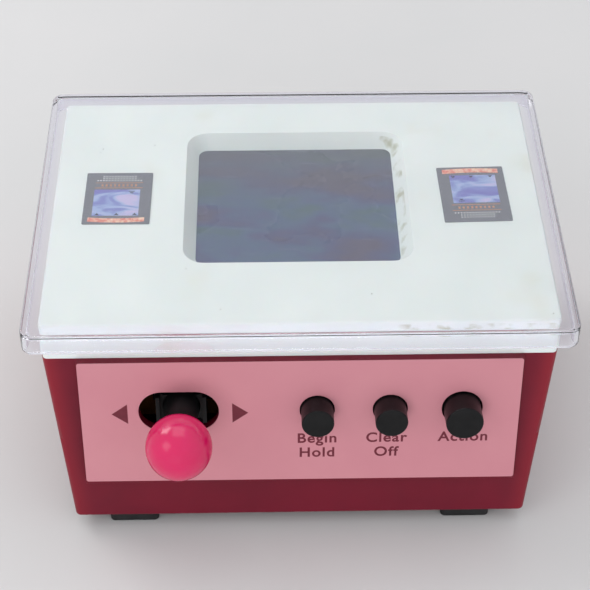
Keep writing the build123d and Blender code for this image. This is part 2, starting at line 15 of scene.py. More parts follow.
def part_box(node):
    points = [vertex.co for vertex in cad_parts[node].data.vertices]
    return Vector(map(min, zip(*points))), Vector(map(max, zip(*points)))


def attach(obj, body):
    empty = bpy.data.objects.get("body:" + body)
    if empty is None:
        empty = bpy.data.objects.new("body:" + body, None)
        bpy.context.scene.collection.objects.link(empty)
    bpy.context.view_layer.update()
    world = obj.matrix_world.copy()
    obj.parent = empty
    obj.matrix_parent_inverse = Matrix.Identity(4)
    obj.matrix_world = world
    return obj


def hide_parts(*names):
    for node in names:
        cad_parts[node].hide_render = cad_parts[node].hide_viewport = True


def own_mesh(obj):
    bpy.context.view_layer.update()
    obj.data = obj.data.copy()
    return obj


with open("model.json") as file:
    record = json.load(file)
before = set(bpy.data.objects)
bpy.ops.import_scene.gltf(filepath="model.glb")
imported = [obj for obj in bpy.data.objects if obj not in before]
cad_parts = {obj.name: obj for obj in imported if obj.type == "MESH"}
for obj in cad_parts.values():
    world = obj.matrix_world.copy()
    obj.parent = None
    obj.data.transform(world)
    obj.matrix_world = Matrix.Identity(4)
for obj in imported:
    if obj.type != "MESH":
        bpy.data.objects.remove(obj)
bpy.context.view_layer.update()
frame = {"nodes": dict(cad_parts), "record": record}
LOG = logging.getLogger("cocktail_game")
MM = 0.001
CABINET = "cabinet"
Point = tuple[float, float, float]


# ---------------------------------------------------------------- shared helpers
def linear(code: str) -> tuple[float, float, float, float]:
    """Turn an sRGB hex value into a linear colour.

    Args:
        code: Six hex digits after a hash sign.

    Returns:
        Red, green, blue and an alpha of one, all linear.
    """
    channels = [int(code[i:i + 2], 16) / 255 for i in (1, 3, 5)]
    bright = [c / 12.92 if c <= 0.04045 else ((c + 0.055) / 1.055) ** 2.4 for c in channels]
    return (bright[0], bright[1], bright[2], 1.0)


def add_node(tree: bpy.types.NodeTree, kind: str, props: dict | None = None, values: dict | None = None,
             links: dict | None = None) -> bpy.types.Node:
    """Add one shader node with its settings and links.

    Args:
        tree: The material's node tree.
        kind: Blender's name for the node's type.
        props: Attributes of the node itself.
        values: Unlinked inputs, by socket name or number.
        links: Linked inputs, by socket name or number, each with its source socket.

    Returns:
        The new node.
    """
    node = tree.nodes.new(kind)
    for key, value in (props or {}).items():
        setattr(node, key, value)
    for key, value in (values or {}).items():
        node.inputs[key].default_value = value
    for key, source in (links or {}).items():
        tree.links.new(source, node.inputs[key])
    return node


def add_ramp(tree: bpy.types.NodeTree, source: bpy.types.NodeSocket, stops: list[tuple[float, str]]):
    """Colour a grey value by a ramp.

    Args:
        tree: The material's node tree.
        source: The grey value.
        stops: Place and sRGB hex colour of each stop, in order.

    Returns:
        The ramp's colour socket.
    """
    ramp = add_node(tree, "ShaderNodeValToRGB", links={"Fac": source})
    elements = ramp.color_ramp.elements
    while len(elements) < len(stops):
        elements.new(0.5)
    for element, (place, code) in zip(elements, stops):
        element.position = place
        element.color = linear(code)
    return ramp.outputs["Color"]


def mesh_piece(name: str, vertices: list[Vector], faces: list[tuple[int, ...]], body: str,
               smooth: bool = True) -> bpy.types.Object:
    """Make a mesh object at the origin that rides on a body.

    Args:
        name: The piece's name.
        vertices: Points in the row frame, in metres.
        faces: Vertex numbers of each face.
        body: The CAD body that the piece moves with.
        smooth: Whether its faces are shaded smooth.

    Returns:
        The new object.
    """
    mesh = bpy.data.meshes.new(name)
    mesh.from_pydata([tuple(v) for v in vertices], [], faces)
    work = bmesh.new()
    work.from_mesh(mesh)
    bmesh.ops.recalc_face_normals(work, faces=work.faces)
    work.to_mesh(mesh)
    work.free()
    mesh.polygons.foreach_set("use_smooth", [smooth] * len(mesh.polygons))
    piece = bpy.data.objects.new(name, mesh)
    bpy.context.scene.collection.objects.link(piece)
    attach(piece, body)
    return piece


def rounded_ring(half_x: float, half_y: float, radius: float, centre: Vector, steps: int = 10) -> list[Vector]:
    """Points of a horizontal rounded rectangle, anticlockwise seen from above."""
    ring = []
    corners = ((1, 1, 0), (-1, 1, 90), (-1, -1, 180), (1, -1, 270))
    for sx, sy, start in corners:
        for step in range(steps + 1):
            angle = math.radians(start + 90 * step / steps)
            x = sx * (half_x - radius) + radius * math.cos(angle)
            y = sy * (half_y - radius) + radius * math.sin(angle)
            ring.append(centre + Vector((x, y, 0)))
    return ring


def skin(rings: list[list[Vector]]) -> tuple[list[Vector], list[tuple[int, ...]]]:
    """Join closed rings of equal length by quads, with a cap on each end ring."""
    count = len(rings[0])
    vertices = [point for ring in rings for point in ring]
    faces = []
    for row in range(len(rings) - 1):
        for i in range(count):
            j = (i + 1) % count
            faces.append((row * count + i, row * count + j, (row + 1) * count + j, (row + 1) * count + i))
    faces.append(tuple(range(count)))
    faces.append(tuple(range((len(rings) - 1) * count, len(rings) * count)))
    return vertices, faces


def turned(profile: list[tuple[float, float]], place: Matrix, steps: int = 64) -> tuple[list[Vector], list]:
    """Turn a profile of (radius, height) about the local z axis of a place."""
    rings = []
    for radius, height in profile:
        ring = []
        for i in range(steps):
            angle = math.tau * i / steps
            ring.append(place @ Vector((radius * math.cos(angle), radius * math.sin(angle), height)))
        rings.append(ring)
    return skin(rings)


def arc(centre: tuple[float, float], radius: float, start: float, end: float, steps: int) -> list:
    """Points along an arc in the profile's plane, angles in degrees."""
    points = []
    for step in range(steps + 1):
        angle = math.radians(start + (end - start) * step / steps)
        points.append((centre[0] + radius * math.cos(angle), centre[1] + radius * math.sin(angle)))
    return points


def node_joint(name: str) -> dict:
    """The record's joint of that name."""
    return next(j for j in frame["record"]["behaviour"]["joints"] if j["name"] == name)


class PanelFrame:
    """The leaning front's own frame: across, up the slope, and out of the panel's face."""

    def __init__(self) -> None:
        """Read the slope and the stick's pivot from the frame's joints."""
        joint = node_joint("stick_tilt")
        self.pivot = Vector(joint["pos_m"])
        self.up = Vector(joint["axis"]).normalized()
        self.across = Vector((1, 0, 0))
        self.out = self.across.cross(self.up)
        label = frame["nodes"]["control_label"]
        corners = [label.matrix_world @ v.co - self.pivot for v in label.data.vertices]
        self.face = max(corner.dot(self.out) for corner in corners)

    def at(self, x: float, v: float, w: float) -> Vector:
        """A point at x across, v up the slope from the controls' row, and w out of the label's face."""
        base = self.pivot + self.out * (self.face + w) + self.up * v
        return Vector((x, base.y, base.z))

    def place(self, x: float, v: float, w: float) -> Matrix:
        """A matrix whose z axis stands out of the label at that point."""
        spin = Matrix((self.across, self.up, self.out)).transposed().to_4x4()
        return Matrix.Translation(self.at(x, v, w)) @ spin


# ---------------------------------------------------------------- finishes
@dataclass(frozen=True)
class Finish:
    """A plain finish: mottled colour, uneven roughness and a fine grain, sized in millimetres."""

    name: str
    main: str
    second: str
    roughness: float = 0.45
    spread: float = 0.08
    mottle_mm: float = 6.0
    grain_mm: float = 0.35
    bump_mm: float = 0.004
    ior: float = 1.5
    metallic: float = 0.0
    coat: float = 0.0
    inner_glow: float = 0.0
    glow_mm: float = 1.0
    gloss: float = 0.5
    speck: str = ""
    speck_mm: float = 2.6

    def colour(self, tree: bpy.types.NodeTree, where: bpy.types.NodeSocket) -> bpy.types.NodeSocket:
        """Two close colours in soft patches, with sparse specks of dust where the finish has them."""
        noise = add_node(tree, "ShaderNodeTexNoise", values={"Scale": 1000 / self.mottle_mm, "Detail": 4.0},
                         links={"Vector": where})
        patches = add_ramp(tree, noise.outputs["Fac"], [(0.35, self.main), (0.65, self.second)])
        if not self.speck:
            return patches
        cells = add_node(tree, "ShaderNodeTexVoronoi", values={"Scale": 1000 / self.speck_mm},
                         links={"Vector": where})
        lone = add_node(tree, "ShaderNodeTexNoise", values={"Scale": 400 / self.speck_mm},
                        links={"Vector": where})
        core = add_node(tree, "ShaderNodeMath", {"operation": "LESS_THAN"}, {1: 0.06},
                        {0: cells.outputs["Distance"]})
        rare = add_node(tree, "ShaderNodeMath", {"operation": "GREATER_THAN"}, {1: 0.6},
                        {0: lone.outputs["Fac"]})
        both = add_node(tree, "ShaderNodeMath", {"operation": "MULTIPLY"},
                        links={0: core.outputs["Value"], 1: rare.outputs["Value"]})
        mix = add_node(tree, "ShaderNodeMix", {"data_type": "RGBA"}, {7: linear(self.speck)},
                       {0: both.outputs["Value"], 6: patches})
        return mix.outputs[2]

    def relief(self, tree: bpy.types.NodeTree, where: bpy.types.NodeSocket) -> bpy.types.NodeSocket:
        """The grain that the mould or the rolling left, as a height."""
        noise = add_node(tree, "ShaderNodeTexNoise", values={"Scale": 1000 / self.grain_mm, "Detail": 3.0},
                         links={"Vector": where})
        return noise.outputs["Fac"]

    def make(self) -> bpy.types.Material:
        """Build the material.

        Returns:
            A node material ready for a slot.
        """
        material = bpy.data.materials.new(self.name)
        material.use_nodes = True
        tree = material.node_tree
        tree.nodes.clear()
        where = add_node(tree, "ShaderNodeTexCoord").outputs["Object"]
        rough = add_node(tree, "ShaderNodeTexNoise", values={"Scale": 400 / self.mottle_mm, "Detail": 6.0},
                         links={"Vector": where})
        span = add_node(tree, "ShaderNodeMapRange", links={"Value": rough.outputs["Fac"]}, values={
            "From Min": 0.3, "From Max": 0.7, "To Min": self.roughness - self.spread,
            "To Max": self.roughness + self.spread})
        bump = add_node(tree, "ShaderNodeBump", values={"Strength": 1.0, "Distance": self.bump_mm * MM},
                        links={"Height": self.relief(tree, where)})
        shader = add_node(tree, "ShaderNodeBsdfPrincipled", links={
            "Base Color": self.colour(tree, where), "Roughness": span.outputs["Result"],
            "Normal": bump.outputs["Normal"]})
        if self.metallic:
            shader.inputs["Metallic"].default_value = self.metallic
        else:
            shader.inputs["IOR"].default_value = self.ior
        shader.inputs["Specular IOR Level"].default_value = self.gloss
        shader.inputs["Coat Weight"].default_value = self.coat
        shader.inputs["Subsurface Weight"].default_value = self.inner_glow
        shader.inputs["Subsurface Scale"].default_value = self.glow_mm * MM
        output = add_node(tree, "ShaderNodeOutputMaterial")
        tree.links.new(self.surface(tree, shader), output.inputs["Surface"])
        return material

    def surface(self, tree: bpy.types.NodeTree, shader: bpy.types.Node) -> bpy.types.NodeSocket:
        """The shader that reaches the output."""
        return shader.outputs["BSDF"]


@dataclass(frozen=True)
class TubAbs(Finish):
    """Injection-moulded red ABS, with a painted glow: its left and right ends, most of all near the rim, are coloured
    a purer red that stands in for light getting into them.
    """

    # painted glow: a purer red that stands in for light getting into the thin ends, not a colour of the plastic
    painted_end_glow: str = "#9A2430"
    half_width_mm: float = 51.75
    side_slope: float = 0.094
    rim_mm: float = 43.75
    band_mm: float = 5.0

    def colour(self, tree: bpy.types.NodeTree, where: bpy.types.NodeSocket) -> bpy.types.NodeSocket:
        """Soft patches, and a painted glow of purer red towards the left and right ends, stronger higher up."""
        patches = super().colour(tree, where)
        split = add_node(tree, "ShaderNodeSeparateXYZ", links={"Vector": where})
        width = add_node(tree, "ShaderNodeMath", {"operation": "ABSOLUTE"}, links={0: split.outputs["X"]})
        drop = add_node(tree, "ShaderNodeMath", {"operation": "SUBTRACT"}, {0: self.rim_mm * MM},
                        {1: split.outputs["Z"]})
        reach = add_node(tree, "ShaderNodeMath", {"operation": "MULTIPLY_ADD"}, {1: self.side_slope},
                         {0: drop.outputs["Value"], 2: width.outputs["Value"]})
        near = add_node(tree, "ShaderNodeMapRange", {"interpolation_type": "SMOOTHSTEP"}, {
            "From Min": (self.half_width_mm - self.band_mm) * MM, "From Max": self.half_width_mm * MM},
            {"Value": reach.outputs["Value"]})
        high = add_node(tree, "ShaderNodeMapRange", values={"From Max": self.rim_mm * MM, "To Min": 0.35,
                                                            "To Max": 0.6}, links={"Value": split.outputs["Z"]})
        both = add_node(tree, "ShaderNodeMath", {"operation": "MULTIPLY"},
                        links={0: near.outputs["Result"], 1: high.outputs["Result"]})
        # mix in the painted glow towards the left and right ends, stronger near the rim
        mix = add_node(tree, "ShaderNodeMix", {"data_type": "RGBA"}, {7: linear(self.painted_end_glow)},
                       {0: both.outputs["Value"], 6: patches})
        return mix.outputs[2]


@dataclass(frozen=True)
class TrayAbs(Finish):
    """White ABS with faint handling stains, and scuffs on the front of its skirt."""

    stain: str = "#DCDACA"
    scuff: str = "#A9A98E"
    stain_mm: float = 14.0
    scuff_mm: float = 3.2
    scuff_low_mm: float = 49.6
    scuff_high_mm: float = 51.6
    scuff_from_mm: float = 17.0

    def colour(self, tree: bpy.types.NodeTree, where: bpy.types.NodeSocket) -> bpy.types.NodeSocket:
        """White patches, stained in places, scuffed at the front right."""
        patches = super().colour(tree, where)
        cloud = add_node(tree, "ShaderNodeTexNoise", values={"Scale": 1000 / self.stain_mm, "Detail": 8.0},
                         links={"Vector": where})
        dirty = add_node(tree, "ShaderNodeMapRange", values={"From Min": 0.62, "From Max": 0.8, "To Max": 0.5},
                         links={"Value": cloud.outputs["Fac"]})
        stained = add_node(tree, "ShaderNodeMix", {"data_type": "RGBA"}, {7: linear(self.stain)},
                           {0: dirty.outputs["Result"], 6: patches})
        mix = add_node(tree, "ShaderNodeMix", {"data_type": "RGBA"}, {7: linear(self.scuff)},
                       {0: self.scuffs(tree, where), 6: stained.outputs[2]})
        return mix.outputs[2]

    def scuffs(self, tree: bpy.types.NodeTree, where: bpy.types.NodeSocket) -> bpy.types.NodeSocket:
        """How scuffed a point is: blotches in one strip of the skirt, right of the middle."""
        split = add_node(tree, "ShaderNodeSeparateXYZ", links={"Vector": where})
        blotch = add_node(tree, "ShaderNodeTexNoise", values={"Scale": 1000 / self.scuff_mm, "Detail": 5.0},
                          links={"Vector": where})
        amount = add_node(tree, "ShaderNodeMapRange", values={"From Min": 0.5, "From Max": 0.68, "To Max": 0.8},
                          links={"Value": blotch.outputs["Fac"]})
        strip = (self.scuff_high_mm - self.scuff_low_mm) / 2 * MM
        level = add_node(tree, "ShaderNodeMath", {"operation": "COMPARE"}, {
            1: (self.scuff_high_mm + self.scuff_low_mm) / 2 * MM, 2: strip}, {0: split.outputs["Z"]})
        side = add_node(tree, "ShaderNodeMath", {"operation": "GREATER_THAN"}, {1: self.scuff_from_mm * MM},
                        {0: split.outputs["X"]})
        there = add_node(tree, "ShaderNodeMath", {"operation": "MULTIPLY"},
                         links={0: level.outputs["Value"], 1: side.outputs["Value"]})
        result = add_node(tree, "ShaderNodeMath", {"operation": "MULTIPLY"},
                          links={0: there.outputs["Value"], 1: amount.outputs["Result"]})
        return result.outputs["Value"]


@dataclass(frozen=True)
class ClearStyrene(Finish):
    """Clear polystyrene, polished in the mould. Face on it is clear; where light runs along it, it is lilac."""

    rim: str = "#F6F5FC"
    half_width_mm: float = 54.9
    half_depth_mm: float = 39.15
    middle_mm: float = 8.82
    band_mm: float = 4.2
    clearness: float = 1.0

    def colour(self, tree: bpy.types.NodeTree, where: bpy.types.NodeSocket) -> bpy.types.NodeSocket:
        """Clear in the middle, lilac close to the four edges."""
        split = add_node(tree, "ShaderNodeSeparateXYZ", links={"Vector": where})
        across = add_node(tree, "ShaderNodeMath", {"operation": "ABSOLUTE"}, links={0: split.outputs["X"]})
        shifted = add_node(tree, "ShaderNodeMath", {"operation": "SUBTRACT"}, {1: self.middle_mm * MM},
                           {0: split.outputs["Y"]})
        along = add_node(tree, "ShaderNodeMath", {"operation": "ABSOLUTE"}, links={0: shifted.outputs["Value"]})
        level = add_node(tree, "ShaderNodeMath", {"operation": "ADD"},
                         {1: (self.half_width_mm - self.half_depth_mm) * MM}, {0: along.outputs["Value"]})
        reach = add_node(tree, "ShaderNodeMath", {"operation": "MAXIMUM"},
                         links={0: across.outputs["Value"], 1: level.outputs["Value"]})
        near = add_node(tree, "ShaderNodeMapRange", values={
            "From Min": (self.half_width_mm - self.band_mm) * MM,
            "From Max": (self.half_width_mm - 0.6 * self.band_mm) * MM}, links={"Value": reach.outputs["Value"]})
        mix = add_node(tree, "ShaderNodeMix", {"data_type": "RGBA"}, {6: linear(self.main), 7: linear(self.rim)},
                       {0: near.outputs["Result"]})
        return mix.outputs[2]

    def make(self) -> bpy.types.Material:
        """Build the material, with its clearness on the shader."""
        material = super().make()
        shader = next(n for n in material.node_tree.nodes if n.type == "BSDF_PRINCIPLED")
        shader.inputs["Transmission Weight"].default_value = self.clearness
        return material

    def surface(self, tree: bpy.types.NodeTree, shader: bpy.types.Node) -> bpy.types.NodeSocket:
        """Lamps shine straight through, as they do through a thin clear moulding."""
        clear = add_node(tree, "ShaderNodeBsdfTransparent", values={"Color": linear(self.second)})
        path = add_node(tree, "ShaderNodeLightPath")
        mix = add_node(tree, "ShaderNodeMixShader", links={
            0: path.outputs["Is Shadow Ray"], 1: shader.outputs["BSDF"], 2: clear.outputs["BSDF"]})
        return mix.outputs["Shader"]


@dataclass(frozen=True)
class ScratchedFilm(Finish):
    """Stretched polariser film over the display: blue grey, with teal and violet bands and fine scratches."""

    teal: str = "#455D69"
    violet: str = "#524C64"
    grey: str = "#595A60"
    band_mm: float = 11.0
    scratch_mm: float = 0.45

    def colour(self, tree: bpy.types.NodeTree, where: bpy.types.NodeSocket) -> bpy.types.NodeSocket:
        """Broad slanting bands of teal and violet over the blue grey, with pale scratches."""
        turned_where = add_node(tree, "ShaderNodeMapping", values={"Rotation": (0, 0, 0.35), "Scale": (0.6, 1.5, 1)},
                                links={"Vector": where})
        cloud = add_node(tree, "ShaderNodeTexNoise", values={"Scale": 1000 / self.band_mm, "Detail": 6.0},
                         links={"Vector": turned_where.outputs["Vector"]})
        stops = [(0.34, self.violet), (0.46, self.main), (0.54, self.second), (0.64, self.teal)]
        bands = add_ramp(tree, cloud.outputs["Fac"], stops)
        split = add_node(tree, "ShaderNodeSeparateXYZ", links={"Vector": where})
        back = add_node(tree, "ShaderNodeMapRange", values={"From Min": 0.012, "From Max": 0.032, "To Max": 0.75},
                        links={"Value": split.outputs["Y"]})
        faded = add_node(tree, "ShaderNodeMix", {"data_type": "RGBA"}, {7: linear(self.grey)},
                         {0: back.outputs["Result"], 6: bands})
        mix = add_node(tree, "ShaderNodeMix", {"data_type": "RGBA"}, {7: linear("#9CA4AC")},
                       {0: self.scratches(tree, where), 6: faded.outputs[2]})
        return mix.outputs[2]

    def scratches(self, tree: bpy.types.NodeTree, where: bpy.types.NodeSocket) -> bpy.types.NodeSocket:
        """How much of a pale scratch a point shows: thin streaks that mostly run across."""
        streak_where = add_node(tree, "ShaderNodeMapping", values={"Rotation": (0, 0, 0.2), "Scale": (0.05, 1, 1)},
                                links={"Vector": where})
        streaks = add_node(tree, "ShaderNodeTexNoise", values={"Scale": 1000 / self.scratch_mm, "Detail": 2.0},
                           links={"Vector": streak_where.outputs["Vector"]})
        thin = add_node(tree, "ShaderNodeMapRange", values={"From Min": 0.66, "From Max": 0.78, "To Max": 0.35},
                        links={"Value": streaks.outputs["Fac"]})
        return thin.outputs["Result"]


@dataclass(frozen=True)
class Striped(Finish):
    """A finish with even stripes, such as layered rubber or a flat ribbon's wires."""

    pitch_mm: float = 1.0
    axis: str = "X"

    def colour(self, tree: bpy.types.NodeTree, where: bpy.types.NodeSocket) -> bpy.types.NodeSocket:
        """Stripes of the two colours, one pair for each pitch."""
        wave = add_node(tree, "ShaderNodeTexWave", {"bands_direction": self.axis},
                        {"Scale": 1000 / self.pitch_mm * 0.314 / math.pi, "Distortion": 0.0}, {"Vector": where})
        return add_ramp(tree, wave.outputs["Fac"], [(0.42, self.main), (0.58, self.second)])


class Slot(Enum):
    """The record's material slots, each with the finish of its real material."""

    RED = "red_abs"
    WHITE = "white_abs"
    CLEAR = "clear_styrene"
    BLACK = "black_abs"
    KNOB = "magenta_knob"
    RUBBER = "black_rubber"
    STEEL = "steel_screw"
    CARD = "printed_card"
    LABEL = "pink_label"
    FILM = "polariser_film"
    GLASS = "display_glass"
    FOIL = "reflector_foil"
    ZEBRA = "zebra_rubber"
    BOARD = "phenolic_board"
    EPOXY = "epoxy_blob"
    SLEEVE = "capacitor_sleeve"
    LACQUER = "resistor_lacquer"
    SILICONE = "dome_silicone"
    JACKET = "cell_jacket"
    BRASS = "buzzer_brass"
    RED_WIRE = "red_insulation"
    BLACK_WIRE = "black_insulation"
    RIBBON = "ribbon_pvc"


FINISHES: dict[Slot, Finish] = {
    Slot.RED: TubAbs("moulded_red_abs", "#680D23", "#6F0E25", 0.42, 0.06, 9.0, 0.3, 0.003, 1.54,
                     inner_glow=0.1, glow_mm=1.5, gloss=0.25),
    Slot.WHITE: TrayAbs("moulded_white_abs", "#E4EAE8", "#E9EEEC", 0.42, 0.06, 12.0, 0.3, 0.002, 1.54,
                        inner_glow=0.1, glow_mm=1.5, speck="#8C8A80"),
    Slot.CLEAR: ClearStyrene("polished_clear_polystyrene", "#FCFDFD", "#FAFBFB", 0.03, 0.02, 20.0, 4.0, 0.002, 1.59),
    Slot.BLACK: Finish("moulded_black_abs", "#0B0B0C", "#131314", 0.40, 0.08, 2.5, 0.25, 0.006, 1.54, gloss=0.2),
    Slot.KNOB: Finish("polished_magenta_polystyrene", "#CE0654", "#D40859", 0.18, 0.05, 7.0, 0.9, 0.002, 1.59,
                      coat=0.08, inner_glow=0.07),
    Slot.RUBBER: Finish("moulded_black_rubber", "#141415", "#1F1F20", 0.75, 0.1, 2.0, 0.3, 0.02, 1.52),
    Slot.STEEL: Finish("zinc_plated_steel", "#A9ABAE", "#BFC1C4", 0.32, 0.08, 1.5, 0.2, 0.003, metallic=1.0),
    Slot.CARD: Finish("printed_card_ink", "#6A6B75", "#767882", 0.5, 0.08, 0.5, 0.2, 0.002, 1.45),
    Slot.LABEL: Finish("printed_pink_label", "#C8858F", "#CB8992", 0.5, 0.06, 14.0, 0.25, 0.002, 1.47,
                       gloss=0.3, speck="#8A3E4C", speck_mm=4.5),
    Slot.FILM: ScratchedFilm("stretched_polariser_film", "#474C72", "#485C7B", 0.28, 0.06, 9.0, 0.4, 0.002, 1.49),
    Slot.GLASS: Finish("float_glass_plates", "#3A4446", "#414B4D", 0.1, 0.03, 6.0, 2.0, 0.001, 1.52),
    Slot.FOIL: Finish("matt_aluminium_foil", "#C9CCCE", "#D8DADC", 0.35, 0.1, 3.0, 0.5, 0.01, metallic=1.0),
    Slot.ZEBRA: Striped("layered_silicone_connector", "#3C3C40", "#9FA3B4", 0.6, 0.05, pitch_mm=0.4),
    Slot.BOARD: Finish("phenolic_paper_laminate", "#8B5A2B", "#9A6834", 0.5, 0.08, 4.0, 0.4, 0.01, 1.6),
    Slot.EPOXY: Finish("poured_black_epoxy", "#0D0D0F", "#141416", 0.22, 0.06, 3.0, 1.5, 0.03, 1.56),
    Slot.SLEEVE: Finish("shrunk_pvc_sleeve", "#16305E", "#1B3A70", 0.35, 0.05, 3.0, 0.8, 0.005, 1.53),
    Slot.LACQUER: Finish("dipped_resistor_lacquer", "#C7A274", "#D2B085", 0.4, 0.06, 1.0, 0.4, 0.01, 1.5),
    Slot.SILICONE: Finish("moulded_silicone", "#B9B9B2", "#C5C5BE", 0.6, 0.06, 2.0, 0.4, 0.01, 1.43,
                          inner_glow=0.2),
    Slot.JACKET: Finish("printed_cell_jacket", "#20242C", "#2A303A", 0.3, 0.06, 5.0, 0.6, 0.003, 1.5),
    Slot.BRASS: Finish("rolled_brass", "#B08A45", "#C29B54", 0.3, 0.08, 3.0, 0.3, 0.004, metallic=1.0),
    Slot.RED_WIRE: Finish("extruded_red_pvc", "#A31A1E", "#B22226", 0.4, 0.05, 2.0, 0.5, 0.004, 1.53),
    Slot.BLACK_WIRE: Finish("extruded_black_pvc", "#151515", "#1E1E1E", 0.4, 0.05, 2.0, 0.5, 0.004, 1.53),
    Slot.RIBBON: Striped("flat_ribbon_pvc", "#8E9096", "#A9ABB2", 0.5, 0.05, pitch_mm=1.0),
}


class Paint:
    """Makes each finish once and dresses pieces with it."""

    def __init__(self) -> None:
        """Start with no materials made."""
        self.made: dict[str, bpy.types.Material] = {}

    def material(self, finish: Finish) -> bpy.types.Material:
        """The finish's one material."""
        if finish.name not in self.made:
            self.made[finish.name] = finish.make()
        return self.made[finish.name]

    def dress(self, piece: bpy.types.Object, slot: Slot) -> None:
        """Give a new piece a slot's finish."""
        piece.data.materials.append(self.material(FINISHES[slot]))

    def dress_cad(self) -> None:
        """Give every carried-over CAD node the finish of its record slot."""
        for part in frame["record"]["subparts"]:
            piece = frame["nodes"][part["node"]]
            material = self.material(FINISHES[Slot(part["material_slot"])])
            for index in range(max(1, len(piece.material_slots))):
                if not piece.material_slots:
                    piece.data.materials.append(material)
                piece.material_slots[index].material = material


# ---------------------------------------------------------------- sub-assemblies
@dataclass
class ClearCover:
    """Clear cover over the tray, with softly rounded rims, in metres."""

    wall: float = 1.1 * MM
    top: float = 1.2 * MM
    draft: float = 0.1 * MM
    corner: float = 2.6 * MM
    rim_round: float = 0.3 * MM
    lip_round: float = 0.25 * MM
    inner_round: float = 0.4 * MM
    flat: float = 0.4 * MM

    def rings(self) -> list[list[Vector]]:
        """Closed rings from the top's flat, down the outside and up the inside."""
        low, high = (Vector(c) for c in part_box("clear_cover"))
        middle = (low + high) / 2
        half = (high - low) / 2
        shoulder = high.z - self.rim_round
        under = high.z - self.top
        line = [(self.draft + self.rim_round + self.flat, high.z)]
        crown = arc((self.draft + self.rim_round, shoulder), self.rim_round, 90, 180, 6)
        line += crown + arc((self.lip_round, low.z + self.lip_round), self.lip_round, 180, 270, 4)
        line += arc((self.wall - self.lip_round, low.z + self.lip_round), self.lip_round, 270, 360, 4)
        inner = self.wall + self.draft
        line += arc((inner + self.inner_round, under - self.inner_round), self.inner_round, 180, 90, 4)
        line += [(inner + self.inner_round + self.flat, under)]
        rings = []
        for inset, height in line:
            centre = Vector((middle.x, middle.y, height))
            radius = max(self.corner - inset, 0.4 * MM)
            rings.append(rounded_ring(half.x - inset, half.y - inset, radius, centre))
        return rings

    def build(self, paint: Paint) -> bpy.types.Object:
        """Make the cover and let it stand for the CAD node."""
        cover = mesh_piece("cover_shell", *skin(self.rings()), CABINET)
        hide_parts("clear_cover")
        paint.dress(cover, Slot.CLEAR)
        return cover


@dataclass
class BallKnob:
    """Polished ball with a faint mould line, turned about the stick's axis."""

    mould_line: float = 0.03 * MM
    gate: float = 0.5 * MM
    collar: float = 2.3 * MM

    def build(self, paint: Paint, panel: PanelFrame) -> bpy.types.Object:
        """Make the ball in the place of the CAD one."""
        low, high = (Vector(c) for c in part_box("ball_knob"))
        radius = (high.x - low.x) / 2
        centre = (low + high) / 2
        start = math.degrees(math.asin(self.collar / radius)) - 90
        profile = [(self.collar * 0.96, radius * math.sin(math.radians(start)) + 0.6 * MM)]
        for x, z in arc((0, 0), radius, start, 90 - math.degrees(self.gate / radius), 48):
            ridge = self.mould_line * math.exp(-(z / (0.25 * MM)) ** 2)
            profile.append((x - ridge, z))
        profile.append((self.gate * 0.5, radius - 0.04 * MM))
        spin = panel.place(centre.x, 0, 0).to_3x3().to_4x4()
        ball = mesh_piece("ball_shell", *turned(profile, Matrix.Translation(centre) @ spin, 96), "stick")
        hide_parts("ball_knob")
        paint.dress(ball, Slot.KNOB)
        return ball


@dataclass
class KeyDomes:
    """Silicone domes behind the three keys, which flatten against the switch board as a key goes in."""

    travel: float = 1.2 * MM
    spare: float = 0.02 * MM
    keys: tuple[str, ...] = ("start", "reset", "attack")

    def build(self, paint: Paint, panel: PanelFrame) -> None:
        """Carry each dome's shape over into its own mesh.

        Args:
            paint: The scene's materials.
            panel: The leaning front's frame.
        """
        for key in self.keys:
            solid = frame["nodes"][f"{key}_dome"]
            corners = [solid.matrix_world @ vertex.co for vertex in solid.data.vertices]
            faces = [tuple(face.vertices) for face in solid.data.polygons]
            dome = mesh_piece(f"{key}_soft_dome", corners, faces, CABINET, smooth=False)
            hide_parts(f"{key}_dome")
            paint.dress(dome, Slot.SILICONE)
            foot = min(corners, key=lambda corner: corner.dot(panel.out))
            top = max(corners, key=lambda corner: corner.dot(panel.out))
            height = (top - foot).dot(panel.out)
            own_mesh(dome)


